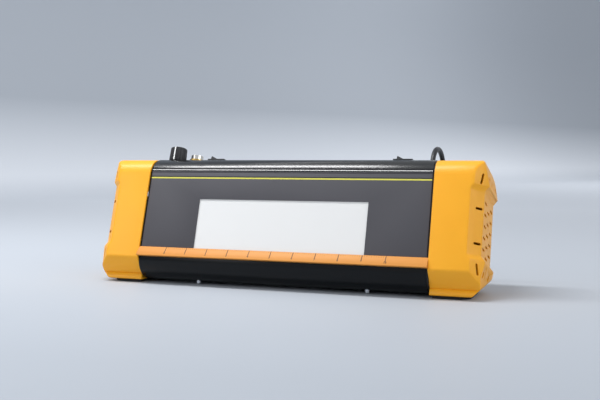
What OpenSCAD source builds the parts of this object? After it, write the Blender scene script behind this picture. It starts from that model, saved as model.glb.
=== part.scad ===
// Portable LED film viewer. A leaned back housing of extruded aluminium carries a light
// box behind its front panel, with a moulded vent cap and a fan on each end. The controls
// are on its top face. Millimetres, Z up, the front towards -Y, the pads on Z = 0.

/* [Stance] */
// Angle that the body leans back from upright
lean = 17.2; // [14:0.1:20]
// Height of the reference line, at the foot of the front panel, over the surface
front_rise = 32.2; // [31:0.1:36]
// Height of the housing and the caps over the surface
base_gap = 3.2; // [2.8:0.1:4]

/* [Housing] */
// Length of the extruded housing
body_len = 328.4; // [320:0.4:400]
// Depth of the housing from its front face to its back
body_depth = 82; // [80:0.5:92]
// Height of the top face over the reference line, along the front
body_top = 117.5; // [116:0.5:128]
// Wall of the extrusion
wall = 2.5; // [2.3:0.1:2.8]
// Radius of the two top edges
top_r = 20; // [18:0.5:21]
// Radius of the lower front edge
low_r = 22; // [20:0.5:23]
// Radius of the lower back edge
back_low_r = 16; // [14:0.5:17]
// Diameter of the screw channels in the corners
channel_d = 7.2; // [6.6:0.1:7.6]

/* [Front] */
// Width of the lit window
window_w = 197; // [150:1:204]
// Height of the lit window
window_h = 56.7; // [44:0.1:58]
// Thickness of the printed front panel
panel_t = 1; // [0.8:0.1:1.2]
// Height of the panel's upper edge over the reference line
panel_top = 101; // [99:0.1:103]
// Thickness of the opal diffuser
diffuser_t = 3; // [2.8:0.1:3.4]
// Width of the diffuser's edge that lies behind the panel
diffuser_lap = 3; // [2:0.1:3.5]
// Height of the film ledge on the front
ledge_h = 9.9; // [9:0.1:11]
// Distance that the ledge's lower edge stands out
ledge_out = 6; // [5:0.1:8]

/* [Light source] */
// Depth of the light box behind the front wall
box_depth = 25.5; // [20:0.5:28]
// Wall of the light box
box_wall = 2; // [1.6:0.1:2.4]
// Flange of the light box
flange_t = 3; // [2.6:0.1:3.2]
// Thickness of the LED board
led_board_t = 1.6; // [1.5:0.1:2]
// Thickness of the heat sink's base
sink_base = 5; // [4:0.1:6]
// Height of the heat sink's fins
fin_h = 25; // [18:0.5:27]
// Distance from one fin to the next
fin_pitch = 5.5; // [5:0.1:6]
// Length of the heat sink
sink_len = 232; // [228:1:260]

/* [Driver] */
// Height of the driver board over the reference line
board_v = 79; // [78.5:0.5:82]
// Thickness of the driver board
board_t = 1.6; // [1.5:0.1:2]
// Length of the driver board
board_len = 170; // [160:1:200]

/* [End caps] */
// Length of each cap
cap_len = 54.8; // [52:0.2:60]
// Wall of the cap
cap_wall = 2.5; // [2.2:0.1:2.8]
// Distance that the cap stands proud of the housing's front and back
cap_proud = 2; // [1.5:0.1:2.5]
// Chamfer round the cap's outer face
cap_chamfer = 13.5; // [12:0.1:15]
// Depth of the recess in the cap's outer face
recess_depth = 4.5; // [3.5:0.1:5]
// Width of the vent slots
slot_w = 2.6; // [2.2:0.1:3]
// Distance from one vent slot to the next above it in a column
slot_pitch = 12; // [11.5:0.1:13]
// Thickness of the plate between the housing and the cap
plate_t = 2; // [1.8:0.1:2.4]

/* [Fans] */
// Side of the square fan frame
fan_size = 60; // [56:0.5:61]
// Thickness of the fan
fan_t = 20; // [18:0.5:24]
// Number of blades
fan_blades = 7; // [5:1:9]

/* [Controls] */
// Depth of the control row behind the front face
control_w = 26; // [24:0.5:34]
// Diameter of the dimmer knob
knob_d = 20.4; // [18:0.1:22]
// Height of the dimmer knob
knob_h = 16; // [14:0.1:20]
// Number of flutes round the knob
knob_flutes = 20; // [16:1:24]
// Diameter of the foot switch socket
socket_d = 14; // [13:0.1:15]
// Length of a rocker switch's bezel
rocker_len = 21.5; // [20.5:0.1:23]
// Width of a rocker switch's bezel
rocker_wide = 15.5; // [14.5:0.1:17]
// Angle that a rocker tilts to each side of its middle
rocker_tilt = 14; // [10:1:15]

/* [Mains cord] */
// Diameter of the cord
cord_d = 5.6; // [5:0.1:5.8]

/* [Hidden] */
$fn = 48;
arc_steps = 10;
over = 1;
reach = 4 * (body_depth + body_top);

// Clearances and screws
fit = 0.2;
run_fit = 0.05;
half_turn_share = sqrt(2) - 1;
screw_d = 3;
screw_hole = 3.4;
head_d = 5.6;
head_h = 2.2;

// Lines of the housing in its leaned frame: Y into the body, Z up the front
function base_line(w, lift) = (lift - front_rise) / cos(lean) + w * tan(lean);
function housing_corners(t) = [
    [t, base_line(t, base_gap) + t / cos(lean)],
    [body_depth - t, base_line(body_depth - t, base_gap) + t / cos(lean)],
    [body_depth - t, body_top - t],
    [t, body_top - t]];
corner_radii = [low_r, back_low_r, top_r, top_r];
function unit(v) = v / norm(v);
function turned(p, a) = [p.x * cos(a) - p.y * sin(a), p.x * sin(a) + p.y * cos(a)];
function corner_half(a, b, c) = acos(unit(a - b) * unit(c - b)) / 2;
function arc_centre(a, b, c, r) =
    b + unit(unit(a - b) + unit(c - b)) * r / sin(corner_half(a, b, c));
function fillet(a, b, c, r) = r <= 0 ? [b] :
    let (to_a = unit(a - b), to_c = unit(c - b), half = corner_half(a, b, c),
        centre = arc_centre(a, b, c, r), start = b + to_a * r / tan(half) - centre,
        sweep = -sign(to_a.x * to_c.y - to_a.y * to_c.x) * (180 - 2 * half))
    [for (i = [0:arc_steps]) centre + turned(start, sweep * i / arc_steps)];
function rounded(pts, radii) = let (m = len(pts))
    [for (i = [0:m - 1]) each fillet(pts[(i + m - 1) % m], pts[i], pts[(i + 1) % m], radii[i])];
function housing_outline(t) = rounded(housing_corners(t), [for (r = corner_radii) r - t]);

// Screw channels sit against the wall in the four corners
channel_sink_share = 0.7;
channel_in = wall + channel_d / 2 * channel_sink_share;
function channel_place(i) = let (c = housing_corners(0), r = corner_radii[i],
        centre = arc_centre(c[(i + 3) % 4], c[i], c[(i + 1) % 4], r))
    centre + unit(c[i] - centre) * (r - channel_in);

// Front layout
window_low = ledge_h;
window_mid = window_low + window_h / 2;
panel_air = 1.2;
panel_low = ledge_h + fit / 2;
ledge_drop = 1;
ledge_top_t = 0.8;
ledge_edge_t = 0.8;
diffuser_w = window_w + 2 * diffuser_lap;
diffuser_h = window_h + 2 * diffuser_lap;
flange_side = 7;
flange_rim = 4;
rail_t = 1.5;
rail_hook = 2;
shoulder_back = panel_t + diffuser_t;
opening_margin = 0.5;
box_in_w = window_w + 2 * opening_margin;
box_in_h = window_h + 2 * opening_margin;
boss_r = 3.5;
boss_in = 1;
boss_x = box_in_w / 2 + box_wall + boss_r - boss_in;
boss_up = box_in_h / 2 - boss_r;
flange_w = diffuser_w + 2 * flange_side;
flange_h = diffuser_h + 2 * flange_rim;

// Light source layout
box_back = wall + box_depth;
sink_front = box_back + led_board_t;
sink_back = sink_front + sink_base;
fin_end = sink_back + fin_h;
fin_t = 1.6;
fin_bare = 18;
sink_inset = 1;
sink_h = flange_h - 2 * sink_inset;
fin_rows = floor((sink_h - fin_t) / fin_pitch / 2);
led_side = 4;
led_t = 1.2;
led_pitch = 12;
led_margin = 5;
led_columns = floor((box_in_w / 2 - led_margin) / led_pitch);
led_rows = floor((box_in_h / 2 - led_margin) / led_pitch);
bracket_len = 16;
bracket_t = 2;
bracket_x = window_w / 2;
bracket_foot_low = 21.5;
bracket_lap = 9;
base_screw_w = 24.5;
base_spot = 1.2;

// Driver layout
rail_depth = 2.6;
board_x = 15;
transformer = [34, 30, 24];
transformer_place_share = -0.25;
base_share = 0.25;
core_share = 0.5;
winding_shares = [0.6, 0.125, 0.85];
capacitor_place_share = 0.17;
capacitor_d = 13;
capacitor_h = 24;
capacitor_pitch = 17;

// Cap layout, measured from its rim
plate_x = body_len / 2;
rim_x = plate_x + plate_t;
plate_inset = 1.2;
cap_drop = 1;
cap_top = body_top - cap_drop;
cap_back = body_depth + cap_proud;
low_crease = -3;
low_chamfer = 16;
back_chamfer = 8;
lip = 1;
plinth_h = 7;
taper_in = 3.4;
taper_h = 17;
top_in = 6.8;
base_chamfer = 12;
recess_low = 10;
recess_high = 88;
recess_slope = 6;
chamfer_recess = 2.5;
chamfer_late = 0.6;
wall_turn_share = 0.25;
back_plinth_w = cap_back - back_chamfer;
back_crease = base_line(back_plinth_w, base_gap) + plinth_h + back_chamfer;
slot_drop = 3.7;
slot_mid = (recess_low + recess_high) / 2 - slot_drop;
slot_len = 14;
slot_short = 8.6;
bump_slot = 12;
front_bump_share = 0.75;
face_bump_shares = [1.2, 0.7];
back_bump_turn = 12;
front_bump_turn = 102;
slot_row = 18;
tower_r = 4.8;
sink_bore_d = 6.6;
cap_seat = 12;
cap_thread = 4;
cap_screw_in = 17;
cap_screw_down = 20;
cap_screw_low = 23;
cap_screw_back = 47;
cap_screw_back_rise = 15;
cap_screw_places = [[cap_screw_in, cap_top - cap_screw_down],
    [body_depth - cap_screw_in, cap_top - cap_screw_down],
    [cap_screw_in, base_line(cap_screw_in, base_gap) + cap_screw_low],
    [cap_screw_back, base_line(cap_screw_back, base_gap) + cap_screw_back_rise]];
pad_inset = 2.5;
pad_chamfer = 9;
pad_front = (base_gap - front_rise) * tan(lean) + (low_chamfer - cap_proud) / cos(lean);
pad_back = (base_gap - front_rise) * tan(lean) + back_plinth_w / cos(lean);

// Fan layout
fan_w = body_depth / 2;
fan_v = slot_mid;
fan_rim = 1.5;
fan_bore = fan_size - 2 * fan_rim;
fan_hole_in = 5;
fan_hole_pitch = fan_size - 2 * fan_hole_in;
plate_lap = 1;
fan_corner = 4;
fan_flange = 3;
hub_d = 25;
stator_t = 4;
strut_w = 3;
blade_tip_air = 1;
blade_t = 1.4;
blade_angle = 38;
rotor_air = 0.6;
fan_shaft_d = 3;
fan_shaft_in = 3;
fan_screw_d = 3.6;

// Control places along the housing
knob_x = -148.3;
socket_x = -122.7;
mode_x = -94.6;
power_x = 126.4;
relief_x = 150.1;
relief_w = 58;
knob_air = 0.8;
bushing_d = 7;
shaft_d = 6;
bushing_up = 5;
pot_d = 17;
pot_h = 9;
pot_gap = 0.3;
shaft_in = 5;
nut_af = 10;
nut_h = 2;
flute_r = 1.4;
flute_in = 1;
knob_taper = 0.6;
knob_top_d = knob_d - 2 * knob_taper;
shaft_share = 0.8;
knob_edge = 1;
knob_under_d = 13;
knob_under_h = 5;
pointer_w = 1.4;
pointer_t = 0.5;
socket_up = 7;
socket_in = 10;
socket_thread_d = 12;
socket_bore = 11;
socket_low_d = 10;
socket_floor = 1;
socket_ring_d = 17;
socket_ring_h = 2;
socket_step = 0.5;
socket_step_up = 2.2;
insert_low = 0.8;
contact_d = 1.8;
contact_ring = 3;
bezel_h = 2;
frame_in = 13;
frame_side = 1;
rocker_half = 7.7;
rocker_end_h = 4.05;
rocker_mid_h = 2.4;
rocker_belly = 3.5;
rocker_belly_half = 6;
rocker_pivot = 0.2;
pivot_d = 1.6;
rocker_space = 8.9;
rocker_side_air = 0.2;
rocker_floor = 5;
terminal = [0.8, 4.8, 7];
terminal_pitch = 7;
relief_up = 8.3;
relief_flange_d = 11;
relief_flange_t = 1.5;
relief_base_d = 8.8;
relief_tip_d = 6.8;
relief_neck_d = 8.4;
relief_in = 12;
relief_ribs = 3;
rib_groove = 0.5;
rib_shares = [0.7, 0.75];
relief_nut_af = 13;
relief_nut_h = 4;

// The body stands with the middle of its depth over the origin
front_reach = ledge_out * cos(lean) + ledge_drop * sin(lean);
back_reach = (cap_top - top_r) * sin(lean) + (cap_back - top_r) * cos(lean) + top_r;
front_y = (front_reach - back_reach) / 2;

// Route of the mains cord, from the tip of its relief to the coil
relief_tip = [relief_x,
    front_y + (body_top + relief_up) * sin(lean) + relief_w * cos(lean),
    front_rise + (body_top + relief_up) * cos(lean) - relief_w * sin(lean)];
relief_way = [0, sin(lean), cos(lean)];
route = [relief_tip, relief_tip + relief_way * cord_d / 2,
    [150.2, 46.4, 144.7], [150.5, 54.6, 150], [150.9, 63.4, 151.6], [151.4, 72.2, 150],
    [151.9, 80.4, 144.6], [152.3, 85.8, 136.4], [152.5, 87.6, 126], [152.5, 88, 110],
    [152.4, 88, 92], [152.2, 88, 74], [151.9, 88, 56], [151.3, 88, 40], [150.2, 88, 30],
    [146.2, 88, 18], [138, 88.4, 8.6], [126, 89.4, 3.6], [112, 91.6, 3],
    [98, 96.4, 3.1], [86, 102.8, 3.5], [74, 108.8, 4], [64, 112, 4.4], [60.5, 112.4, 4.4]];

// Coil put away behind the body, wound in and out again in four layers
coil_centre = [60, 76];
coil_out = 36.4;
coil_step = 7;
coil_lift = 1.6;
coil_layer = 6.4;
coil_rings = 24;
layers = 4;
layer_turns = 1.5;
coil_in = coil_out - coil_step * layer_turns;
lap = layer_turns + 0.5;
coil_turns = layers * lap - 0.5;
function ease(x) = x * x * (3 - 2 * x);
function coil_r(t) = let (k = floor(t / lap), s = min(t - k * lap, layer_turns))
    k % 2 == 0 ? coil_out - coil_step * s : coil_in + coil_step * s;
function coil_z(t) = let (k = floor(t / lap), s = t - k * lap)
    coil_layer * (k + (s > layer_turns ? ease((s - layer_turns) / 0.5) : 0));
function coil_point(t) = [coil_centre.x + coil_r(t) * cos(90 + 360 * t),
    coil_centre.y + coil_r(t) * sin(90 + 360 * t), coil_lift + cord_d / 2 + coil_z(t)];
coil_steps = round(coil_turns * coil_rings);
coil_points = [for (i = [0:coil_steps]) coil_point(coil_turns * i / coil_steps)];
coil_end = coil_point(coil_turns);
coil_gap = min([for (i = [0:coil_steps - 1]) for (j = [i + coil_rings / 3:1:coil_steps])
    norm(coil_points[i] - coil_points[j])]) - cord_d;
echo(coil_gap = coil_gap);

// Tail from the coil to the plug, and the plug that lies on the surface
plug_x = 124;
plug_y = 44;
plug_len = 40;
plug_wide = 30;
plug_tall = 19;
plug_corner = 5;
plug_neck = 14;
plug_neck_d = 9;
blade_len = 17;
blade_wide = 6.3;
blade_thick = 1.6;
blade_apart = 7.9;
blade_low = 3;
blade_turn = 30;
plug_neck_taper = 1;
earth_rise = 4;
tail_start = [0.5, 0, 0];
tail = [coil_end + tail_start, coil_end + [8, 0.1, -0.4], [79, 39.9, 21], [90, 40.6, 16.6], [100, 41.8, 12.4],
    [109, 43.2, 10], [117, plug_y, plug_tall / 2], [plug_x, plug_y, plug_tall / 2]];

// Tie round the coil
tie_t = 1;
tie_w = 12;
tie_air = 0.5;
tie_turn = 200;

// Frames and sweeps
module leaned() translate([0, front_y, front_rise]) rotate([-lean, 0, 0]) children();
module along_x(from, length) translate([from, 0, 0]) rotate([90, 0, 90]) linear_extrude(length)
    children();
module into_body(from, length) translate([0, from + length, 0]) rotate([90, 0, 0])
    linear_extrude(length) children();
module on_top(x, w) leaned() translate([x, w, body_top]) children();
module sides(side) mirror([side < 0 ? 1 : 0, 0, 0]) children();
module plate(w, h, r) {
    square([w - 2 * r, h], center = true);
    square([w, h - 2 * r], center = true);
    for (x = [-1, 1], y = [-1, 1]) translate([x * (w / 2 - r), y * (h / 2 - r)]) circle(r);
}
module slot(length, width) {
    square([length - width, width], center = true);
    for (x = [-1, 1]) translate([x * (length - width) / 2, 0]) circle(width / 2, $fn = 16);
}
module hexagon(across) circle(across / 2 / cos(30), $fn = 6);

function flow(p) = let (m = len(p) - 1)
    [for (i = [0:m]) unit(unit(p[min(i + 1, m)] - p[min(i, m - 1)])
        + unit(p[max(i, 1)] - p[max(i - 1, 0)]))];
function carried(t, first) = [for (i = 0, n = first; i < len(t);
    i = i + 1, n = i < len(t) ? unit(n - (n * t[i]) * t[i]) : n) n];
module tube(points, d, faces, first) {
    t = flow(points);
    n = carried(t, unit(first - (first * t[0]) * t[0]));
    m = len(points);
    ring_share = 1 / cos(180 / faces);
    r = d / 2 * (1 + ring_share) / 2;
    skin = [for (i = [0:m - 1]) for (k = [0:faces - 1])
        points[i] + r * (n[i] * cos(360 * k / faces) + cross(t[i], n[i]) * sin(360 * k / faces))];
    sides = [for (i = [0:m - 2]) for (k = [0:faces - 1])
        let (a = i * faces + k, b = i * faces + (k + 1) % faces)
            each [[a, a + faces, b + faces], [a, b + faces, b]]];
    start = [for (k = [1:faces - 2]) [0, k, k + 1]];
    end_ring = (m - 1) * faces;
    finish = [for (k = [1:faces - 2]) [end_ring, end_ring + k + 1, end_ring + k]];
    polyhedron(skin, concat(sides, start, finish), convexity = 8);
}

// Housing, open at both ends, with card rails and hooks inside the extruded section
module rail(v, up) {
    far = wall + flange_t + fit;
    low = up > 0 ? v - rail_t : v;
    translate([wall / 2, low]) square([far + rail_t - wall / 2, rail_t]);
    translate([far, up > 0 ? low : v - rail_hook]) square([rail_t, rail_t + rail_hook]);
}
module card_rail(from, to) {
    for (v = [board_v - fit - rail_t, board_v + board_t + fit])
        translate([min(from, to), v]) square([abs(to - from), rail_t]);
}
module housing_section() {
    difference() {
        polygon(housing_outline(0));
        polygon(housing_outline(wall));
    }
    for (i = [0:3]) translate(channel_place(i)) circle(channel_d / 2);
    rail(window_mid - flange_h / 2 - fit, 1);
    rail(window_mid + flange_h / 2 + fit, -1);
    card_rail(wall / 2, wall + rail_depth);
    card_rail(body_depth - wall / 2, body_depth - wall - rail_depth);
}
module top_hole(x, w, d) translate([x, w, body_top - wall - over])
    cylinder(d = d, h = wall + 2 * over);
module top_cut(x) translate([x, control_w, body_top - wall - over])
    linear_extrude(wall + 2 * over) square([rocker_len - 2 * frame_side + fit,
        rocker_wide - 2 * frame_side + fit], center = true);
module housing_extrusion() {
    color("#1b1c20") leaned() difference() {
        along_x(-body_len / 2, body_len) housing_section();
        for (side = [-1, 1], i = [0:3])
            translate([side * plate_x, channel_place(i).x, channel_place(i).y])
                rotate([0, 90, 0]) cylinder(d = screw_d, h = 4 * screw_d, center = true);
        into_body(-over, over + panel_t) translate([-reach / 2, panel_low - fit])
            square([reach, panel_top + panel_air - panel_low]);
        into_body(-over, wall + 2 * over) translate([0, window_mid])
            square([diffuser_w + 2 * fit, diffuser_h + 2 * fit], center = true);
        top_hole(knob_x, control_w, bushing_d + fit);
        top_hole(socket_x, control_w, socket_thread_d + fit);
        translate([relief_x, relief_w, body_top - wall - relief_in - fit])
            cylinder(d = relief_neck_d + fit, h = wall + relief_in + fit + over);
        translate([relief_x, relief_w, body_top - wall - relief_nut_h - fit])
            cylinder(d = relief_nut_af / cos(30) + 2 * fit, h = relief_nut_h + fit);
        top_cut(mode_x);
        top_cut(power_x);
        for (x = [-bracket_x, bracket_x]) base_screw_at(x)
            translate([0, 0, -over]) {
                cylinder(d = screw_hole, h = wall + 2 * over);
                cylinder(d = head_d + 2 * fit, h = base_spot + over);
            }
    }
}

// Printed panel that lies flush in the housing's front, with the window cut out
module front_panel() {
    color("#615f66") leaned() into_body(0, panel_t) difference() {
        translate([-body_len / 2, panel_low]) square([body_len, panel_top - panel_low]);
        translate([0, window_mid]) square([window_w, window_h], center = true);
    }
}

// Sloping ledge that holds the film's lower edge and carries the inch scale
module film_ledge() {
    color("#f4a75c") leaned() along_x(-rim_x, 2 * rim_x) polygon([[0, ledge_h],
        [-ledge_top_t, ledge_h], [-ledge_out, -ledge_drop + ledge_edge_t],
        [-ledge_out, -ledge_drop], [0, -ledge_drop]]);
}

module diffuser_plate() {
    color("#f2f2f2") leaned() into_body(panel_t, diffuser_t) translate([0, window_mid])
        square([diffuser_w, diffuser_h], center = true);
}

// White reflector frame behind the diffuser, held by its flange in the housing's hooks
module boss_places() for (x = [-boss_x, boss_x], v = [-boss_up, boss_up])
    translate([x, window_mid + v]) children();
module light_box() {
    color("#eeeeee") leaned() difference() {
        union() {
            into_body(wall, flange_t) translate([0, window_mid])
                square([flange_w, flange_h], center = true);
            into_body(wall, box_depth) translate([0, window_mid])
                square([box_in_w + 2 * box_wall, box_in_h + 2 * box_wall], center = true);
            into_body(wall, box_depth) boss_places() circle(boss_r);
        }
        into_body(wall - over, shoulder_back - wall + over) translate([0, window_mid])
            square([diffuser_w + 2 * fit, diffuser_h + 2 * fit], center = true);
        into_body(wall - over, box_depth + 2 * over) translate([0, window_mid])
            square([box_in_w, box_in_h], center = true);
        into_body(wall + flange_t, box_depth) boss_places() circle(screw_d / 2);
    }
}

module led_board() {
    color("#e8ecec") leaned() into_body(box_back, led_board_t) difference() {
        translate([0, window_mid]) square([flange_w, sink_h], center = true);
        boss_places() circle(screw_hole / 2);
    }
}
module led_array() {
    color("#f0dd6a") leaned() into_body(box_back - led_t, led_t)
        for (i = [-led_columns:led_columns], j = [-led_rows:led_rows])
            translate([i * led_pitch, window_mid + j * led_pitch])
                square(led_side, center = true);
}

module heat_sink() {
    color("#a9adb2") leaned() {
        into_body(sink_front, sink_base) difference() {
            translate([0, window_mid]) square([sink_len, sink_h], center = true);
            boss_places() circle(screw_hole / 2);
        }
        for (j = [-fin_rows:fin_rows]) translate([fin_bare - sink_len / 2,
            sink_back - fin_t / 2, window_mid + j * fin_pitch - fin_t / 2])
            cube([sink_len - 2 * fin_bare, fin_h + fin_t / 2, fin_t]);
    }
}
module heat_sink_screws() {
    color("#c9ccd0") leaned() {
        into_body(sink_back, head_h) boss_places() circle(head_d / 2);
        into_body(wall + flange_t, sink_back - wall - flange_t) boss_places() circle(screw_d / 2);
    }
}

// Two angle brackets carry the heat sink on the floor of the housing
module base_screw_at(x) translate([x, base_screw_w, base_line(base_screw_w, base_gap)])
    rotate([lean, 0, 0]) children();
module sink_brackets() {
    lap_v = window_mid - sink_h / 2;
    foot = base_line(bracket_foot_low, base_gap) + wall / cos(lean);
    heel_w = sink_back + bracket_t;
    heel = base_line(heel_w, base_gap) + wall / cos(lean);
    rise = bracket_t / cos(lean);
    color("#b4b8bd") leaned() difference() {
        for (x = [-bracket_x, bracket_x]) along_x(x - bracket_len / 2, bracket_len)
            intersection() {
                polygon([[bracket_foot_low, foot - bracket_t], [heel_w, heel - bracket_t],
                    [heel_w, lap_v], [sink_back, lap_v],
                    [sink_back, heel + rise - bracket_t * tan(lean)],
                    [bracket_foot_low, foot + rise]]);
                polygon(housing_outline(wall));
            }
        for (x = [-bracket_x, bracket_x]) base_screw_at(x) cylinder(d = screw_d, h = 4 * wall);
    }
}
module base_screws() {
    color("#d9dce0") leaned() for (x = [-bracket_x, bracket_x]) base_screw_at(x) {
        translate([0, 0, -head_h]) cylinder(d = head_d, h = head_h + base_spot);
        cylinder(d = screw_d, h = wall + bracket_t + over);
    }
}

// Driver board in the card rails, with its larger components
module driver_board() {
    color("#2f6b3c") leaned() translate([board_x - board_len / 2, wall + fit, board_v])
        cube([board_len, body_depth - 2 * wall - 2 * fit, board_t]);
}
module driver_transformer() {
    color("#d8c24a") leaned() translate([board_x + board_len * transformer_place_share,
        body_depth / 2, board_v + board_t]) {
        linear_extrude(transformer.z * base_share)
            square([transformer.x, transformer.y], center = true);
        linear_extrude(transformer.z)
            square([transformer.x, transformer.y * core_share], center = true);
        linear_extrude(transformer.z * winding_shares[2]) plate(
            transformer.x * winding_shares[0], transformer.y, transformer.y * winding_shares[1]);
    }
}
module driver_capacitors() {
    color("#24406b") leaned() for (i = [0:2]) translate([board_x
        + board_len * capacitor_place_share + i * capacitor_pitch, body_depth / 2, board_v + board_t])
        cylinder(d = capacitor_d, h = capacitor_h);
}

// Black plate that closes each end of the housing and carries the fan and the cap
module at_channels() for (i = [0:3])
    translate([plate_x, channel_place(i).x, channel_place(i).y]) rotate([0, 90, 0]) children();
module at_cap_screws() for (p = cap_screw_places)
    translate([rim_x, p.x, p.y]) rotate([0, 90, 0]) children();
module at_fan() translate([rim_x, fan_w, fan_v]) rotate([0, 90, 0]) children();
module at_fan_holes() for (a = [-1, 1], b = [-1, 1])
    at_fan() translate([a * fan_hole_pitch / 2, b * fan_hole_pitch / 2, 0]) children();
module end_plate(side) {
    color("#141517") sides(side) leaned() difference() {
        along_x(plate_x, plate_t) polygon(housing_outline(plate_inset));
        at_fan() cylinder(d = fan_bore - 2 * plate_lap, h = 3 * plate_t, center = true);
        at_channels() cylinder(d1 = screw_d, d2 = head_d, h = plate_t);
        at_channels() cylinder(d = screw_hole, h = 3 * plate_t, center = true);
        at_cap_screws() cylinder(d = screw_d, h = 3 * plate_t, center = true);
        at_fan_holes() cylinder(d = screw_d, h = 3 * plate_t, center = true);
    }
}
module left_end_plate() end_plate(-1);
module right_end_plate() end_plate(1);
module plate_screws(side) {
    color("#c9ccd0") sides(side) leaned() at_channels() {
        cylinder(d1 = screw_d, d2 = head_d, h = plate_t);
        translate([0, 0, -plate_t]) cylinder(d = screw_d, h = plate_t);
    }
}
module left_plate_screws() plate_screws(-1);
module right_plate_screws() plate_screws(1);

// Moulded cap: three crossed outlines, with a recessed band and slots for air
function cap_side(t) = let (k = t * half_turn_share, ledge = t > 0 ? 0 : lip,
        front_w = low_chamfer - cap_proud, top = cap_top - t) [
    [front_w + t - ledge, base_line(front_w + t - ledge, base_gap) + t / cos(lean)],
    [back_plinth_w - t, base_line(back_plinth_w - t, base_gap) + t / cos(lean)],
    [back_plinth_w - t, back_crease - back_chamfer + k],
    [cap_back - t, back_crease + k],
    [cap_back - t, top],
    [t - cap_proud, top],
    [t - cap_proud, low_crease + k],
    [front_w + t, low_crease - low_chamfer + k],
    [front_w + t - ledge, low_crease - low_chamfer + k]];
module recess_band(angle, face, depth, t, late) {
    low = recess_low + late - wall_turn_share * t;
    high = recess_high - late + wall_turn_share * t;
    slope = recess_slope - 2 * late;
    rotate([0, 0, angle]) translate([face, 0, 0]) into_body(-reach / 2, reach)
        polygon([[reach, low], [-t, low], [-depth - t, low + slope],
            [-depth - t, high - slope], [-t, high], [reach, high]]);
}
module cap_form(t, from) {
    k = t * half_turn_share;
    flat = cap_len - cap_chamfer - k;
    far = cap_len - t;
    near = far - taper_in;
    difference() {
        intersection() {
            along_x(from, cap_len - from) polygon(rounded(cap_side(t),
                [0, 0, 0, 0, top_r - t, top_r - t, 0, 0, 0]));
            translate([0, 0, -reach / 2]) linear_extrude(reach) polygon([
                [from, t - cap_proud], [flat, t - cap_proud],
                [far, cap_chamfer - cap_proud + k], [far, cap_back - cap_chamfer - k],
                [flat, cap_back - t], [from, cap_back - t]]);
            into_body(-reach / 2, reach) polygon([[from, -reach], [near, -reach],
                [near, recess_low - taper_h], [far, recess_low], [far, recess_high],
                [near, recess_high + taper_h], [cap_len - top_in - t, cap_top - t],
                [from, cap_top - t]]);
            rotate([lean, 0, 0]) translate([0, 0, base_gap - front_rise])
                into_body(-reach / 2, reach) polygon([[from, t],
                    [cap_len - base_chamfer - k, t], [far, base_chamfer + k],
                    [far, reach], [from, reach]]);
        }
        recess_band(0, cap_len, recess_depth, t, 0);
        recess_band(-45, (cap_len - cap_chamfer + cap_proud) / sqrt(2), chamfer_recess, t,
            chamfer_late);
        recess_band(45, (cap_len - cap_chamfer + cap_back) / sqrt(2), chamfer_recess, t,
            chamfer_late);
    }
}
module vent(w, v, length, tip) translate([cap_len, w, v]) rotate([tip, 0, 0])
    rotate([90, 0, 90]) linear_extrude(2 * (recess_depth + cap_wall), center = true)
        slot(length, slot_w);
module corner_vent(v, length, tip, face, angle, reach_w) rotate([0, 0, angle])
    translate([face, reach_w, v]) rotate([tip, 0, 0]) rotate([90, 0, 90])
        linear_extrude(2 * (chamfer_recess + cap_wall), center = true) slot(length, slot_w);
module vents() {
    for (j = [-2:2]) for (i = [-1, 1]) vent(fan_w + i * slot_row, slot_mid + j * slot_pitch
        + slot_pitch / 4, slot_len, 0);
    for (j = [-2:2]) vent(fan_w, slot_mid + j * slot_pitch - slot_pitch / 4, slot_len, 0);
    chamfer_mid = cap_len - cap_chamfer / 2;
    for (end = [-1, 1]) {
        w = end < 0 ? cap_chamfer / 2 - cap_proud : cap_back - cap_chamfer / 2;
        turn = end * 45;
        face = chamfer_mid * cos(turn) + w * sin(turn);
        side_w = w * cos(turn) - chamfer_mid * sin(turn);
        for (j = [-1, 1]) corner_vent(slot_mid + j * 1.5 * slot_pitch, slot_short, 0,
            face, turn, side_w);
        corner_vent(recess_high + bump_slot / 2, bump_slot, 90 + end * back_bump_turn, face, turn, side_w);
    }
    corner_vent(recess_low - bump_slot * front_bump_share, bump_slot, front_bump_turn,
        chamfer_mid * cos(45) - (cap_chamfer / 2 - cap_proud) * sin(45), -45,
        (cap_chamfer / 2 - cap_proud) * cos(45) + chamfer_mid * sin(45));
    for (i = [-1, 0, 1]) vent(fan_w + i * bump_slot, recess_high + bump_slot / 2 + slot_w,
        bump_slot, 90);
    vent(fan_w - bump_slot * face_bump_shares[0], recess_low - bump_slot * face_bump_shares[1],
        bump_slot, 90);
}
module end_cap(side) {
    color("#f6b93f") sides(side) leaned() difference() {
        translate([rim_x, 0, 0]) difference() {
            union() {
                difference() {
                    cap_form(0, 0);
                    cap_form(cap_wall, -over);
                }
                intersection() {
                    cap_form(0, 0);
                    translate([-rim_x, 0, 0]) at_cap_screws() cylinder(r = tower_r, h = cap_len);
                }
            }
            vents();
        }
        at_cap_screws() cylinder(d = screw_hole, h = 3 * cap_seat, center = true);
        at_cap_screws() translate([0, 0, cap_seat]) cylinder(d = sink_bore_d, h = cap_len);
    }
}
module left_end_cap() end_cap(-1);
module right_end_cap() end_cap(1);
module cap_screws(side) {
    color("#c9ccd0") sides(side) leaned() at_cap_screws() {
        translate([0, 0, cap_seat]) cylinder(d = head_d, h = head_h);
        translate([0, 0, -cap_thread]) cylinder(d = screw_d, h = cap_seat + cap_thread);
    }
}
module left_cap_screws() cap_screws(-1);
module right_cap_screws() cap_screws(1);

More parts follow.
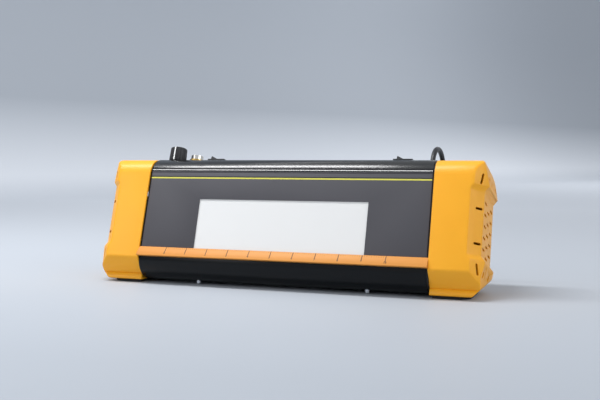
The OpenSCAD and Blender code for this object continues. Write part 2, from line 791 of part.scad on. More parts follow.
// Rubber pad under each cap
module foot_pad(side) {
    inner = rim_x + pad_inset;
    outer = rim_x + cap_len - base_chamfer - pad_inset;
    front = front_y + pad_front + pad_inset;
    back = front_y + pad_back - pad_inset;
    color("#101113") sides(side) linear_extrude(base_gap) polygon([[inner, front],
        [outer - pad_chamfer, front], [outer, front + pad_chamfer],
        [outer, back - pad_chamfer], [outer - pad_chamfer, back], [inner, back]]);
}
module left_foot_pad() foot_pad(-1);
module right_foot_pad() foot_pad(1);

// Axial fan: square frame with a stator hub on struts, and a bladed rotor on a shaft
module fan_frame(side) {
    color("#17181a") sides(side) leaned() at_fan() difference() {
        union() {
            linear_extrude(fan_flange) plate(fan_size, fan_size, fan_corner);
            translate([0, 0, fan_t - fan_flange]) linear_extrude(fan_flange)
                plate(fan_size, fan_size, fan_corner);
            cylinder(d = fan_bore + fan_flange, h = fan_t);
        }
        difference() {
            translate([0, 0, -over]) cylinder(d = fan_bore, h = fan_t + 2 * over);
            cylinder(d = hub_d, h = stator_t);
            for (a = [45:90:315]) rotate(a) translate([0, -strut_w / 2, 0])
                cube([fan_size / 2, strut_w, stator_t / 2]);
        }
        for (a = [-1, 1], b = [-1, 1])
            translate([a * fan_hole_pitch / 2, b * fan_hole_pitch / 2, -over])
                cylinder(d = fan_screw_d, h = fan_t + 2 * over);
        translate([0, 0, stator_t - fan_shaft_in])
            cylinder(r = fan_shaft_d / 2 + run_fit, h = fan_t);
    }
}
module left_fan_frame() fan_frame(-1);
module right_fan_frame() fan_frame(1);
module fan_rotor(side) {
    low = stator_t + rotor_air;
    tall = fan_t - low - rotor_air;
    color("#1f2023") sides(side) leaned() at_fan() {
        translate([0, 0, low]) cylinder(d = hub_d, h = tall);
        translate([0, 0, stator_t - fan_shaft_in + run_fit])
            cylinder(d = fan_shaft_d, h = low - stator_t + fan_shaft_in);
        intersection() {
            translate([0, 0, low]) cylinder(d = fan_bore - 2 * blade_tip_air, h = tall);
            for (i = [0:fan_blades - 1]) rotate(360 * i / fan_blades)
                translate([hub_d / 2 - over, 0, low + tall / 2]) rotate([blade_angle, 0, 0])
                    translate([0, -blade_t / 2, -tall]) cube([fan_size, blade_t, 2 * tall]);
        }
    }
}
module left_fan_rotor() fan_rotor(-1);
module right_fan_rotor() fan_rotor(1);
module fan_screws(side) {
    color("#c9ccd0") sides(side) leaned() at_fan_holes() {
        translate([0, 0, fan_t]) cylinder(d = head_d, h = head_h);
        translate([0, 0, -plate_t]) cylinder(d = screw_d, h = fan_t + plate_t);
    }
}
module left_fan_screws() fan_screws(-1);
module right_fan_screws() fan_screws(1);

// Dimmer: potentiometer under the top wall, its nut, shaft, knob and pointer line
module dimmer_potentiometer() {
    color("#8d9196") on_top(knob_x, control_w) difference() {
        union() {
            translate([0, 0, -wall - pot_gap - pot_h]) cylinder(d = pot_d, h = pot_h);
            translate([0, 0, -wall - pot_gap])
                cylinder(d = bushing_d, h = wall + pot_gap + bushing_up);
        }
        translate([0, 0, -wall - shaft_in]) cylinder(r = shaft_d / 2 + run_fit,
            h = wall + shaft_in + bushing_up + over);
    }
}
module dimmer_nut() {
    color("#c9ccd0") on_top(knob_x, control_w) linear_extrude(nut_h) difference() {
        hexagon(nut_af);
        circle(d = bushing_d);
    }
}
module dimmer_shaft() {
    low = wall + shaft_in - run_fit;
    color("#b9bdc2") on_top(knob_x, control_w) translate([0, 0, -low])
        cylinder(d = shaft_d, h = low + knob_air + knob_h * shaft_share);
}
module dimmer_knob() {
    color("#1a1b1f") on_top(knob_x, control_w) translate([0, 0, knob_air]) difference() {
        rotate_extrude() polygon([[0, 0], [knob_d / 2, 0], [knob_top_d / 2, knob_h - knob_edge],
            [knob_top_d / 2 - knob_edge, knob_h], [0, knob_h]]);
        for (i = [0:knob_flutes - 1]) rotate(360 * (i + 0.5) / knob_flutes)
            translate([knob_d / 2 - flute_in + flute_r, 0, -over])
                cylinder(r = flute_r, h = knob_h + 2 * over, $fn = 16);
        translate([0, 0, -over]) cylinder(d = knob_under_d, h = knob_under_h + over);
        translate([0, 0, -over]) cylinder(d = shaft_d, h = knob_h * shaft_share + over);
        pointer_slot();
    }
}
module pointer_slot() {
    translate([-pointer_w / 2, -knob_d / 2 - over, knob_h - pointer_t])
        cube([pointer_w, knob_d / 2 + over, pointer_t + over]);
    translate([-pointer_w / 2, -knob_d / 2 - over, -over])
        cube([pointer_w, pointer_t + over + knob_edge + (knob_d - knob_top_d) / 2,
            knob_h + 2 * over]);
}
module knob_pointer() {
    color("#f4f4f4") on_top(knob_x, control_w) translate([0, 0, knob_air]) intersection() {
        rotate_extrude() polygon([[0, 0], [knob_d / 2, 0], [knob_top_d / 2, knob_h - knob_edge],
            [knob_top_d / 2 - knob_edge, knob_h], [0, knob_h]]);
        pointer_slot();
    }
}

// Round socket for the foot switch
module socket_shell() {
    color("#d6d8da") on_top(socket_x, control_w) difference() {
        union() {
            cylinder(d = socket_d - 2 * socket_step, h = socket_up);
            translate([0, 0, socket_step_up]) cylinder(d = socket_d, h = socket_up - socket_step_up);
            translate([0, 0, -socket_in]) cylinder(d = socket_thread_d, h = socket_in);
        }
        translate([0, 0, socket_floor - socket_in]) cylinder(d = socket_low_d, h = reach);
        cylinder(d = socket_bore, h = reach);
    }
}
module socket_ring() {
    color("#c9a24c") on_top(socket_x, control_w) linear_extrude(socket_ring_h) difference() {
        circle(d = socket_ring_d, $fn = 36);
        circle(d = socket_d - 2 * socket_step);
    }
}
module socket_insert() {
    color("#222327") on_top(socket_x, control_w) difference() {
        union() {
            translate([0, 0, socket_floor - socket_in])
                cylinder(d = socket_low_d, h = socket_in - socket_floor);
            cylinder(d = socket_bore, h = socket_up - insert_low);
        }
        for (a = [0:120:240]) rotate(a) translate([contact_ring, 0, 0])
            cylinder(d = contact_d, h = reach);
    }
}
module socket_contacts() {
    color("#d9b45a") on_top(socket_x, control_w) for (a = [0:120:240]) rotate(a)
        translate([contact_ring, 0, 0]) cylinder(d = contact_d, h = socket_up - insert_low);
}

// Rocker switch: snap-in frame and a rocker on two pivot stubs
module rocker_frame(x) {
    side_wall_w = rocker_wide - 2 * frame_side;
    color("#131417") on_top(x, control_w) difference() {
        union() {
            linear_extrude(bezel_h) plate(rocker_len, rocker_wide, frame_side);
            translate([0, 0, -frame_in]) linear_extrude(frame_in)
                square([rocker_len - 2 * frame_side, side_wall_w], center = true);
        }
        translate([0, 0, -rocker_floor]) linear_extrude(reach)
            square([2 * rocker_space, rocker_wide - 4 * frame_side], center = true);
        translate([0, 0, rocker_pivot]) rotate([90, 0, 0])
            cylinder(r = pivot_d / 2 + run_fit, h = side_wall_w, center = true);
    }
}
module rocker_on(x) {
    body_w = rocker_wide - 4 * frame_side - 2 * rocker_side_air;
    color("#26272c") on_top(x, control_w) translate([0, 0, rocker_pivot])
        rotate([0, rocker_tilt, 0]) {
            into_body(-body_w / 2, body_w) polygon([[-rocker_half, rocker_end_h],
                [-rocker_half - fit, 0], [-rocker_belly_half, -rocker_belly],
                [rocker_belly_half, -rocker_belly], [rocker_half + fit, 0],
                [rocker_half, rocker_end_h], [0, rocker_mid_h]]);
            rotate([90, 0, 0]) cylinder(d = pivot_d,
                h = body_w + 2 * frame_side, center = true);
        }
}
module mode_rocker_frame() rocker_frame(mode_x);
module mode_rocker() rocker_on(mode_x);
module power_rocker_frame() rocker_frame(power_x);
module power_rocker() rocker_on(power_x);
module switch_terminals() {
    color("#d9b45a") for (x = [mode_x, power_x]) on_top(x, control_w) for (i = [-1, 0, 1])
        translate([i * terminal_pitch - terminal.x / 2, -terminal.y / 2, -frame_in - terminal.z])
            cube(terminal);
}

// Moulded strain relief in the top face, and the nut that holds it inside
module cord_relief() {
    rib = (relief_up - relief_flange_t) / relief_ribs;
    color("#101114") on_top(relief_x, relief_w) rotate_extrude() polygon(concat(
        [[0, -wall - relief_in], [relief_neck_d / 2, -wall - relief_in],
            [relief_neck_d / 2, 0], [relief_flange_d / 2, 0],
            [relief_flange_d / 2, relief_flange_t]],
        [for (i = [0:relief_ribs - 1]) let (r0 = relief_r(i / relief_ribs),
            r1 = relief_r((i + 1) / relief_ribs), z = relief_flange_t + i * rib)
            each [[r0, z], [r1, z + rib_shares[0] * rib], [r1 - rib_groove, z + rib_shares[1] * rib],
                [r1 - rib_groove, z + rib]]],
        [[0, relief_up]]));
}
function relief_r(s) = (relief_base_d + (relief_tip_d - relief_base_d) * s) / 2;
module relief_nut() {
    color("#1c1d20") on_top(relief_x, relief_w) translate([0, 0, -wall - relief_nut_h])
        linear_extrude(relief_nut_h) difference() {
            hexagon(relief_nut_af);
            circle(d = relief_neck_d);
        }
}

// Mains cord: the free stretch, the coil put away behind the body, and the tail
module power_cord() color("#15161a") tube(route, cord_d, 8, [1, 0, 0]);
module cord_coil() color("#15161a") tube(coil_points, cord_d, 6, [0, 0, 1]);
module cord_tail() color("#15161a") tube(tail, cord_d, 8, [0, 0, 1]);
module cord_tie() {
    low = coil_in - cord_d / 2 - tie_air;
    high = coil_out + cord_d / 2 + tie_air;
    tall = (layers - 1) * coil_layer + cord_d + 2 * tie_air;
    color("#2a2b2f") translate([coil_centre.x, coil_centre.y, coil_lift - tie_air])
        rotate(tie_turn) translate([0, tie_w / 2, 0]) rotate([90, 0, 0]) linear_extrude(tie_w)
            difference() {
                translate([low - tie_t, -tie_t]) square([high - low + 2 * tie_t, tall + 2 * tie_t]);
                translate([low, 0]) square([high - low, tall]);
            }
}
module plug_body() {
    color("#15161a") translate([plug_x, plug_y, plug_tall / 2]) rotate([90, 0, 90]) {
        cylinder(d1 = plug_neck_d - 2 * plug_neck_taper, d2 = plug_neck_d, h = plug_neck);
        translate([0, 0, plug_neck]) linear_extrude(plug_len - plug_neck)
            plate(plug_wide, plug_tall, plug_corner);
    }
}
module plug_pins() {
    color("#d9b45a") translate([plug_x + plug_len, plug_y, plug_tall / 2])
        rotate([90, 0, 90]) linear_extrude(blade_len) {
            for (s = [-1, 1]) translate([s * blade_apart, blade_low]) rotate(s * blade_turn)
                square([blade_thick, blade_wide], center = true);
            translate([0, -earth_rise]) square([blade_thick, blade_wide], center = true);
        }
}

housing_extrusion();
front_panel();
film_ledge();
diffuser_plate();
light_box();
led_board();
led_array();
heat_sink();
heat_sink_screws();
sink_brackets();
base_screws();
driver_board();
driver_transformer();
driver_capacitors();
left_end_plate();
right_end_plate();
left_plate_screws();
right_plate_screws();
left_end_cap();
right_end_cap();
left_cap_screws();
right_cap_screws();
left_fan_frame();
right_fan_frame();
left_fan_rotor();
right_fan_rotor();
left_fan_screws();
right_fan_screws();
left_foot_pad();
right_foot_pad();
dimmer_potentiometer();
dimmer_nut();
dimmer_shaft();
dimmer_knob();
knob_pointer();
socket_shell();
socket_ring();
socket_insert();
socket_contacts();
mode_rocker_frame();
mode_rocker();
power_rocker_frame();
power_rocker();
switch_terminals();
cord_relief();
relief_nut();
power_cord();
cord_coil();
cord_tail();
cord_tie();
plug_body();
plug_pins();
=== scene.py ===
from math import cos, pi, radians, sin

import bmesh
import bpy
from mathutils import Matrix, Vector
from mathutils.bvhtree import BVHTree
from mathutils.geometry import intersect_point_line


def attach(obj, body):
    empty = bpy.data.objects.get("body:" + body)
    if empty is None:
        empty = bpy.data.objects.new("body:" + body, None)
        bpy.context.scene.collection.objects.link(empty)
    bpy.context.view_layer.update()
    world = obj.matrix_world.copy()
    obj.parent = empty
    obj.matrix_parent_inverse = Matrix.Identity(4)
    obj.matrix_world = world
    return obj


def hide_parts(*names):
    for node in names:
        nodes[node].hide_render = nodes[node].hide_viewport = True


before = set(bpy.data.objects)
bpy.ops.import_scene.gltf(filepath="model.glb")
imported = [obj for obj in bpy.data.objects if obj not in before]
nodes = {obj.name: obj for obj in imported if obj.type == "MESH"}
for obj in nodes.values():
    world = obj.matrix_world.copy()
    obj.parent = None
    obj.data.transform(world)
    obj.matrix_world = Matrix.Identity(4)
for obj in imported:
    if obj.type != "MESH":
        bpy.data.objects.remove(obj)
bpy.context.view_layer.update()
scene = bpy.context.scene
scene.view_settings.view_transform = "Standard"


# Camera: it stands just under a metre away, to the right of the viewer and level with its top,
# and looks a little downwards, as in the photograph.
lens = bpy.data.cameras.new("Camera")
lens.lens = 52.8
lens.sensor_width = 36
camera = bpy.data.objects.new("Camera", lens)
camera.location = (0.3575, -0.9159, 0.1405)
camera.rotation_euler = Vector((-0.3546, 0.9339, -0.0464)).to_track_quat("-Z", "Y").to_euler()
scene.collection.objects.link(camera)
scene.camera = camera


# Mains cord: black round PVC, 5.6 mm thick and 1.8 m long. It rises from its relief, bends
# over the back, and ends in a coil, held by a tie, behind the viewer.
CORD_R = 0.0028
# The route, in millimetres: up out of the relief, over the back, down, and on to the coil.
ROUTE_MM = [
    (150.1, 40.781, 135.224), (150.1, 41.609, 137.899), (150.2, 46.4, 144.7), (150.5, 54.6, 150),
    (150.9, 63.4, 151.6), (151.4, 72.2, 150), (151.9, 80.4, 144.6), (152.3, 85.8, 136.4),
    (152.5, 87.6, 126), (152.5, 88, 110), (152.4, 88, 92), (152.2, 88, 74), (151.9, 88, 56),
    (151.3, 88, 40), (150.2, 88, 30), (146.2, 88, 18), (138, 88.4, 8.6), (126, 89.4, 3.6),
    (112, 91.6, 3), (98, 96.4, 3.1), (86, 102.8, 3.5), (74, 108.8, 4), (64, 112, 4.4)]
# A lap of the coil is two turns. It runs flat for a turn and a half, inwards and outwards by
# turns, and climbs to the next lap over the last half.
COIL_TURNS = 7.5
COIL_STEPS = 180
LAP = 2.0
FLAT = 1.5
OUTER_MM, INNER_MM, STEP_MM = 36.4, 25.9, 7
LOW_MM, CLIMB_MM = 4.4, 6.4
COIL_X, COIL_Y = 60, 76
COIL_MM = []
for step in range(COIL_STEPS + 1):
    turns = COIL_TURNS * step / COIL_STEPS
    lap = int(turns // LAP)
    along = turns - lap * LAP
    shift = STEP_MM * min(along, FLAT)
    radius = OUTER_MM - shift if lap % 2 == 0 else INNER_MM + shift
    climb = max(0.0, (along - FLAT) / (LAP - FLAT))
    height = LOW_MM + CLIMB_MM * (lap + climb * climb * (3 - 2 * climb))
    angle = pi / 2 + 2 * pi * turns
    COIL_MM.append((COIL_X + radius * cos(angle), COIL_Y + radius * sin(angle), height))
# The tail comes down from the coil's last turn to the plug.
TAIL_MM = [
    (68, 39.7, COIL_MM[-1][2] - 0.4), (79, 39.9, 21), (90, 40.6, 16.6), (100, 41.8, 12.4),
    (109, 43.2, 10), (117, 44, 9.5), (124, 44, 9.5)]
cord_line = [Vector(point) / 1000 for point in ROUTE_MM + COIL_MM + TAIL_MM]
cord_curve = bpy.data.curves.new("mains_cord", "CURVE")
cord_curve.dimensions = "3D"
cord_curve.resolution_u = 3
# Each point's radius gives the thickness, so the curve's own depth is 1.
cord_curve.bevel_depth = 1
cord_curve.bevel_resolution = 4
cord_curve.use_fill_caps = True
spline = cord_curve.splines.new("BEZIER")
spline.bezier_points.add(len(cord_line) - 1)
for index, (knot, place) in enumerate(zip(spline.bezier_points, cord_line)):
    before = cord_line[max(index - 1, 0)]
    after = cord_line[min(index + 1, len(cord_line) - 1)]
    way = (after - before).normalized()
    knot.handle_left_type = knot.handle_right_type = "FREE"
    knot.co = place
    knot.radius = CORD_R
    knot.handle_left = place - way * (place - before).length / 3
    knot.handle_right = place + way * (after - place).length / 3
mains_cord = bpy.data.objects.new("mains_cord", cord_curve)
scene.collection.objects.link(mains_cord)
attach(mains_cord, "viewer")
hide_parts("power_cord", "cord_coil", "cord_tail")


def linear(hex_colour):
    """sRGB hex to the linear colour that Blender's sockets take."""
    parts = [int(hex_colour[i:i + 2], 16) / 255 for i in (1, 3, 5)]
    return [p / 12.92 if p <= 0.04045 else ((p + 0.055) / 1.055) ** 2.4 for p in parts] + [1]


def add(tree, kind, inputs=(), **settings):
    """Adds a node to a material, with its settings, values and links."""
    made = tree.nodes.new(kind)
    for name, value in settings.items():
        setattr(made, name, value)
    for name, value in dict(inputs).items():
        if isinstance(value, tuple) and isinstance(value[0], bpy.types.Node):
            tree.links.new(value[0].outputs[value[1]], made.inputs[name])
        else:
            made.inputs[name].default_value = value
    return made


def blank(name):
    """A new material with an empty node tree."""
    made = bpy.data.materials.new(name)
    made.use_nodes = True
    made.node_tree.nodes.clear()
    return made, made.node_tree


def per_metre(mm):
    """A pattern's scale from a real size: how many of these go to a metre."""
    return 1000 / mm


def dress(piece, material):
    """Puts one material on a piece."""
    piece.data.materials.clear()
    piece.data.materials.append(material)


# Extruded PVC: smooth and satin. Waves of about 2.4 mm, left by the die, unsettle the highlight.
cord_pvc, tree = blank("PVC cord jacket, extruded")
place = add(tree, "ShaderNodeTexCoord")
waves = add(tree, "ShaderNodeTexNoise", {"Vector": (place, "Object"), "Scale": per_metre(2.38)})
tint = add(tree, "ShaderNodeMix", {6: linear("#15161A"), 7: linear("#202228"),
    "Factor": (waves, "Fac")}, data_type="RGBA")
gloss = add(tree, "ShaderNodeMapRange", {"Value": (waves, "Fac"), "To Min": 0.34, "To Max": 0.46})
bump = add(tree, "ShaderNodeBump", {"Height": (waves, "Fac"), "Strength": 0.12, "Distance": 0.0002})
shader = add(tree, "ShaderNodeBsdfPrincipled", {"Base Color": (tint, 2),
    "Roughness": (gloss, "Result"), "Normal": (bump, "Normal"), "IOR": 1.52})
add(tree, "ShaderNodeOutputMaterial", {"Surface": (shader, "BSDF")})
dress(mains_cord, cord_pvc)


# Lights, floor and backdrop: a wide soft box hangs overhead, a little to the left, smaller ones
# fill from the front and the right, and two light the backdrop. The paper sweep is a cool pale
# grey, with painted light and shade: palest in its fold and darker higher up.
world = bpy.data.worlds.new("Studio")
world.use_nodes = True
world.node_tree.nodes["Background"].inputs["Color"].default_value = linear("#E3E7ED")
world.node_tree.nodes["Background"].inputs["Strength"].default_value = 0.76
scene.world = world
# Each lamp has its place and aim, its width and depth, all in metres, and its power in watts.
for name, place_m, aim_m, size, size_y, energy in (
        ("Overhead", (-0.6, -0.2, 1.25), (-0.6, -0.2, 0), 1.3, 0.22, 19),
        ("Fill", (-1.1, -1.25, 0.7), (-0.1, 0, 0.08), 0.7, 0.6, 4),
        ("Side", (1.5, -0.5, 0.75), (0.2, 0, 0.08), 0.9, 0.6, 5),
        ("Backdrop", (-0.9, 1.3, 2.5), (-2.9, 2.2, 0.9), 1.6, 1.2, 17),
        ("Horizon", (0.3, 4.1, 2.1), (0.1, 4.6, 0), 1.6, 1.6, 22)):
    lamp = bpy.data.lights.new(name, "AREA")
    lamp.shape = "RECTANGLE"
    lamp.size, lamp.size_y, lamp.energy = size, size_y, energy
    holder = bpy.data.objects.new(name, lamp)
    holder.location = place_m
    holder.rotation_euler = (Vector(aim_m) - Vector(place_m)).to_track_quat("-Z", "Y").to_euler()
    scene.collection.objects.link(holder)
bpy.ops.object.select_all(action="DESELECT")
bpy.ops.mesh.primitive_plane_add(size=2, location=(0, 0, 0))
sweep = bpy.context.object
sweep.name = "paper_sweep"
SWEEP_SIDE, SWEEP_BACK = 8, 2.1
sweep.scale = (SWEEP_SIDE, SWEEP_BACK, 1)
bpy.ops.object.transform_apply(scale=True)
bpy.ops.object.mode_set(mode="EDIT")
bpy.ops.mesh.select_all(action="DESELECT")
bpy.ops.object.mode_set(mode="OBJECT")
for edge in sweep.data.edges:
    edge.select = all(sweep.data.vertices[v].co.y > SWEEP_BACK / 2 for v in edge.vertices)
bpy.ops.object.mode_set(mode="EDIT")
bpy.ops.mesh.select_mode(type="EDGE")
# The paper folds up in nine steps of ten degrees and then stands straight.
FOLD_STEP, WALL_H = 0.2, 4
for turn in range(9):
    rise = radians(5 + 10 * turn)
    bpy.ops.mesh.extrude_region_move(TRANSFORM_OT_translate={
        "value": (0, FOLD_STEP * cos(rise), FOLD_STEP * sin(rise))})
bpy.ops.mesh.extrude_region_move(TRANSFORM_OT_translate={"value": (0, 0, WALL_H)})
bpy.ops.object.mode_set(mode="OBJECT")
bpy.ops.object.shade_smooth()
# The fold runs away to the right, so it stands nearer on the left.
sweep.rotation_euler.z = radians(66)
bpy.ops.object.transform_apply(rotation=True)
# Matt paper with painted light fall-off: its floor brightens towards the fold, and its wall
# darkens as it rises, as painted shade.
paper, tree = blank("Seamless paper, matt")
place = add(tree, "ShaderNodeTexCoord")
split = add(tree, "ShaderNodeSeparateXYZ", {"Vector": (place, "Object")})
far = add(tree, "ShaderNodeMapRange", {"Value": (split, "Y"), "From Min": -0.4, "From Max": 1.6})
floor = add(tree, "ShaderNodeMix", {6: linear("#A9AFB7"), 7: linear("#D6DBE2"),
    "Factor": (far, "Result")}, data_type="RGBA")
fold = add(tree, "ShaderNodeMapRange", {"Value": (split, "Z"), "From Max": 0.08})
foot = add(tree, "ShaderNodeMix", {6: (floor, 2), 7: linear("#E8ECF2"),
    "Factor": (fold, "Result")}, data_type="RGBA")
high = add(tree, "ShaderNodeMapRange", {"Value": (split, "Z"), "From Min": 0.06, "From Max": 0.42})
tint = add(tree, "ShaderNodeMix", {6: (foot, 2), 7: linear("#AFB5BD"),
    "Factor": (high, "Result")}, data_type="RGBA")
shader = add(tree, "ShaderNodeBsdfPrincipled", {"Base Color": (tint, 2), "Roughness": 0.6,
    "Specular IOR Level": 0.2})
add(tree, "ShaderNodeOutputMaterial", {"Surface": (shader, "BSDF")})
dress(sweep, paper)


# Housing: an extruded aluminium tube with a black satin coat. Its broken edges get a small
# bevel, and die lines run along its length.
def merged_copy(node_name, piece_name):
    """A copy of a CAD node's mesh with its points merged and its flat areas in one face."""
    piece = bpy.data.objects.new(piece_name, nodes[node_name].data.copy())
    scene.collection.objects.link(piece)
    bpy.ops.object.select_all(action="DESELECT")
    bpy.context.view_layer.objects.active = piece
    piece.select_set(True)
    bpy.ops.object.mode_set(mode="EDIT")
    bpy.ops.mesh.select_all(action="SELECT")
    bpy.ops.mesh.remove_doubles(threshold=0.00001)
    bpy.ops.mesh.dissolve_limited(angle_limit=radians(0.3))
    bpy.ops.object.mode_set(mode="OBJECT")
    return piece


def soften(piece, width, turn=30, segments=2, smooth=35, weighted=False):
    """Bevels a piece's sharp edges, or those that its weights name, and smooths what is left."""
    bevel = piece.modifiers.new("Soft edges", "BEVEL")
    bevel.width = width
    bevel.segments = segments
    bevel.angle_limit = radians(turn)
    if weighted:
        bevel.limit_method = "WEIGHT"
        bevel.use_clamp_overlap = False
    bpy.ops.object.modifier_apply(modifier=bevel.name)
    bpy.ops.object.shade_smooth_by_angle(angle=radians(smooth))


housing = merged_copy("housing_extrusion", "housing")
soften(housing, 0.00025)
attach(housing, "viewer")
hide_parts("housing_extrusion")
black_coat, tree = blank("Black anodised aluminium, satin")
place = add(tree, "ShaderNodeTexCoord")
# Die lines about 0.6 mm apart draw the highlight out along the length.
stretch = add(tree, "ShaderNodeMapping", {"Vector": (place, "Object"),
    "Scale": (per_metre(250), per_metre(0.625), per_metre(0.625))})
lines = add(tree, "ShaderNodeTexNoise", {"Vector": (stretch, "Vector"), "Scale": 1.0,
    "Detail": 3.0})
cloud = add(tree, "ShaderNodeTexNoise", {"Vector": (place, "Object"),
    "Scale": per_metre(40), "Detail": 4.0})
tint = add(tree, "ShaderNodeMix", {6: linear("#0A0C0E"), 7: linear("#0F1215"),
    "Factor": (cloud, "Fac")}, data_type="RGBA")
gloss = add(tree, "ShaderNodeMapRange", {"Value": (lines, "Fac"), "To Min": 0.2, "To Max": 0.28})
# Painted sheen: the coat reflects more on the upper edges, 100 to 140 mm up, to brighten their
# highlight, and less below them, so that the lower body stays dark.
split = add(tree, "ShaderNodeSeparateXYZ", {"Vector": (place, "Object")})
painted_sheen_by_height = add(tree, "ShaderNodeMapRange", {"Value": (split, "Z"), "From Min": 0.1, "From Max": 0.14,
    "To Min": 0.2, "To Max": 0.9})
bump = add(tree, "ShaderNodeBump", {"Height": (lines, "Fac"), "Strength": 0.12, "Distance": 0.0001})
shader = add(tree, "ShaderNodeBsdfPrincipled", {"Base Color": (tint, 2),
    "Roughness": (gloss, "Result"), "Normal": (bump, "Normal"), "IOR": 1.5,
    "Specular IOR Level": (painted_sheen_by_height, "Result")})
add(tree, "ShaderNodeOutputMaterial", {"Surface": (shader, "BSDF")})
dress(housing, black_coat)


# Front panel: a thin grey printed sheet, flush in the front. A yellow line and a dark hairline
# are printed across it, above the window, and a thin dark strip just under the bead is painted
# shade.
LEAN = radians(17.2)
# Where the front face's lower edge is, from which heights up the front are counted.
FRONT_Y, FRONT_Z = -0.051823, 0.0322


def leaned(x, inward, up):
    """A point of the leaned body: along its length, in from its front face, and up it."""
    return Vector((x, FRONT_Y + up * sin(LEAN) + inward * cos(LEAN),
        FRONT_Z + up * cos(LEAN) - inward * sin(LEAN)))


panel = merged_copy("front_panel", "front_panel_sheet")
soften(panel, 0.00015)
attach(panel, "viewer")
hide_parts("front_panel")
grey_print, tree = blank("Screen-printed grey sheet, matt")
place = add(tree, "ShaderNodeTexCoord")
# A matt print: its grains, about 0.4 mm across, break the highlight up, and the grey drifts
# slowly along its length.
grain = add(tree, "ShaderNodeTexNoise", {"Vector": (place, "Object"),
    "Scale": per_metre(0.4), "Detail": 1.0})
cloud = add(tree, "ShaderNodeTexNoise", {"Vector": (place, "Object"), "Scale": per_metre(83.3)})
tint = add(tree, "ShaderNodeMix", {6: linear("#47464B"), 7: linear("#4E4D52"),
    "Factor": (cloud, "Fac")}, data_type="RGBA")
gloss = add(tree, "ShaderNodeMapRange", {"Value": (grain, "Fac"), "To Min": 0.48, "To Max": 0.62})
bump = add(tree, "ShaderNodeBump", {"Height": (grain, "Fac"), "Strength": 0.1, "Distance": 0.0001})
shader = add(tree, "ShaderNodeBsdfPrincipled", {"Base Color": (tint, 2),
    "Roughness": (gloss, "Result"), "Normal": (bump, "Normal"), "IOR": 1.45})
add(tree, "ShaderNodeOutputMaterial", {"Surface": (shader, "BSDF")})
dress(panel, grey_print)


INK_T = 0.00004


def printed_bar(centre, wide, high, tip=0.0):
    """A printed bar on a face that leans back with the body and by tip more."""
    bpy.ops.object.select_all(action="DESELECT")
    bpy.ops.mesh.primitive_plane_add(size=1, location=centre,
        rotation=(pi / 2 - LEAN - tip, 0, 0))
    bar = bpy.context.object
    bar.scale = (wide, high, 1)
    bpy.ops.object.transform_apply(location=True, rotation=True, scale=True)
    bpy.ops.object.mode_set(mode="EDIT")
    bpy.ops.mesh.select_all(action="SELECT")
    out = Matrix.Rotation(-LEAN - tip, 3, "X") @ Vector((0, -INK_T, 0))
    bpy.ops.mesh.extrude_region_move(TRANSFORM_OT_translate={"value": out})
    bpy.ops.mesh.select_all(action="SELECT")
    bpy.ops.mesh.normals_make_consistent(inside=False)
    bpy.ops.object.mode_set(mode="OBJECT")
    return bar


def ink(name, hex_colour, rough):
    """Screen-printing ink, thin and even, with a faint grain of about 0.6 mm."""
    uneven = 0.06
    made, tree = blank(name)
    place = add(tree, "ShaderNodeTexCoord")
    grain = add(tree, "ShaderNodeTexNoise", {"Vector": (place, "Object"),
        "Scale": per_metre(0.556)})
    gloss = add(tree, "ShaderNodeMapRange", {"Value": (grain, "Fac"), "To Min": rough - uneven,
        "To Max": rough + uneven})
    shader = add(tree, "ShaderNodeBsdfPrincipled", {"Base Color": linear(hex_colour),
        "Roughness": (gloss, "Result"), "IOR": 1.32})
    add(tree, "ShaderNodeOutputMaterial", {"Surface": (shader, "BSDF")})
    return made


yellow_ink = ink("Yellow-green printing ink", "#D8D25A", 0.5)
black_ink_and_painted_shade = ink("Black ink, print and painted shade", "#232327", 0.5)
# The lines end 0.1 mm short of the panel's ends. Each has its height up the front and its width.
LINE_LEN = 0.3282
for name, up, wide, colour in (
        ("yellow_line", 0.0911, 0.0016, yellow_ink),
        ("dark_hairline", 0.0926, 0.0009, black_ink_and_painted_shade),
        # The last is no print: a thin dark strip of painted shade just under the bead's lip.
        ("upper_hairline", 0.0977, 0.0006, black_ink_and_painted_shade)):
    bar = printed_bar(leaned(0, 0, up), LINE_LEN, wide)
    bar.name = name
    dress(bar, colour)
    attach(bar, "viewer")


# Panel bead: the faceted lip of the extrusion that holds the panel's upper edge. One facet
# catches the light of the overhead box, as the edge above it does.
# Its axis is just inside the front face, and what is deeper in than BEAD_SUNK is cut away.
BEAD_R, BEAD_IN, BEAD_UP = 0.001, 0.0002, 0.1002
BEAD_SUNK = 0.0005
FACET_TURN = radians(-10)
bpy.ops.object.select_all(action="DESELECT")
bpy.ops.mesh.primitive_cylinder_add(vertices=6, radius=BEAD_R, depth=LINE_LEN,
    location=leaned(0, BEAD_IN, BEAD_UP), rotation=(Matrix.Rotation(FACET_TURN, 3, "X")
        @ Matrix.Rotation(pi / 2, 3, "Y")).to_euler())
bead = bpy.context.object
bead.name = "panel_bead"
bpy.ops.object.transform_apply(location=True, rotation=True)
bpy.ops.object.mode_set(mode="EDIT")
bpy.ops.mesh.select_all(action="SELECT")
bpy.ops.mesh.bisect(plane_co=leaned(0, BEAD_SUNK, BEAD_UP),
    plane_no=(0, cos(LEAN), -sin(LEAN)), use_fill=True, clear_outer=True)
bpy.ops.object.mode_set(mode="OBJECT")
bpy.ops.object.shade_smooth_by_angle(angle=radians(40))
dress(bead, black_coat)
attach(bead, "viewer")


# Film ledge: an orange sheet folded out from the front, which holds the film's lower edge.
# It carries a printed scale of ten inches, in tenths, with a number at each inch.
ledge = merged_copy("film_ledge", "film_ledge_sheet")
soften(ledge, 0.0002)
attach(ledge, "viewer")
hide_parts("film_ledge")
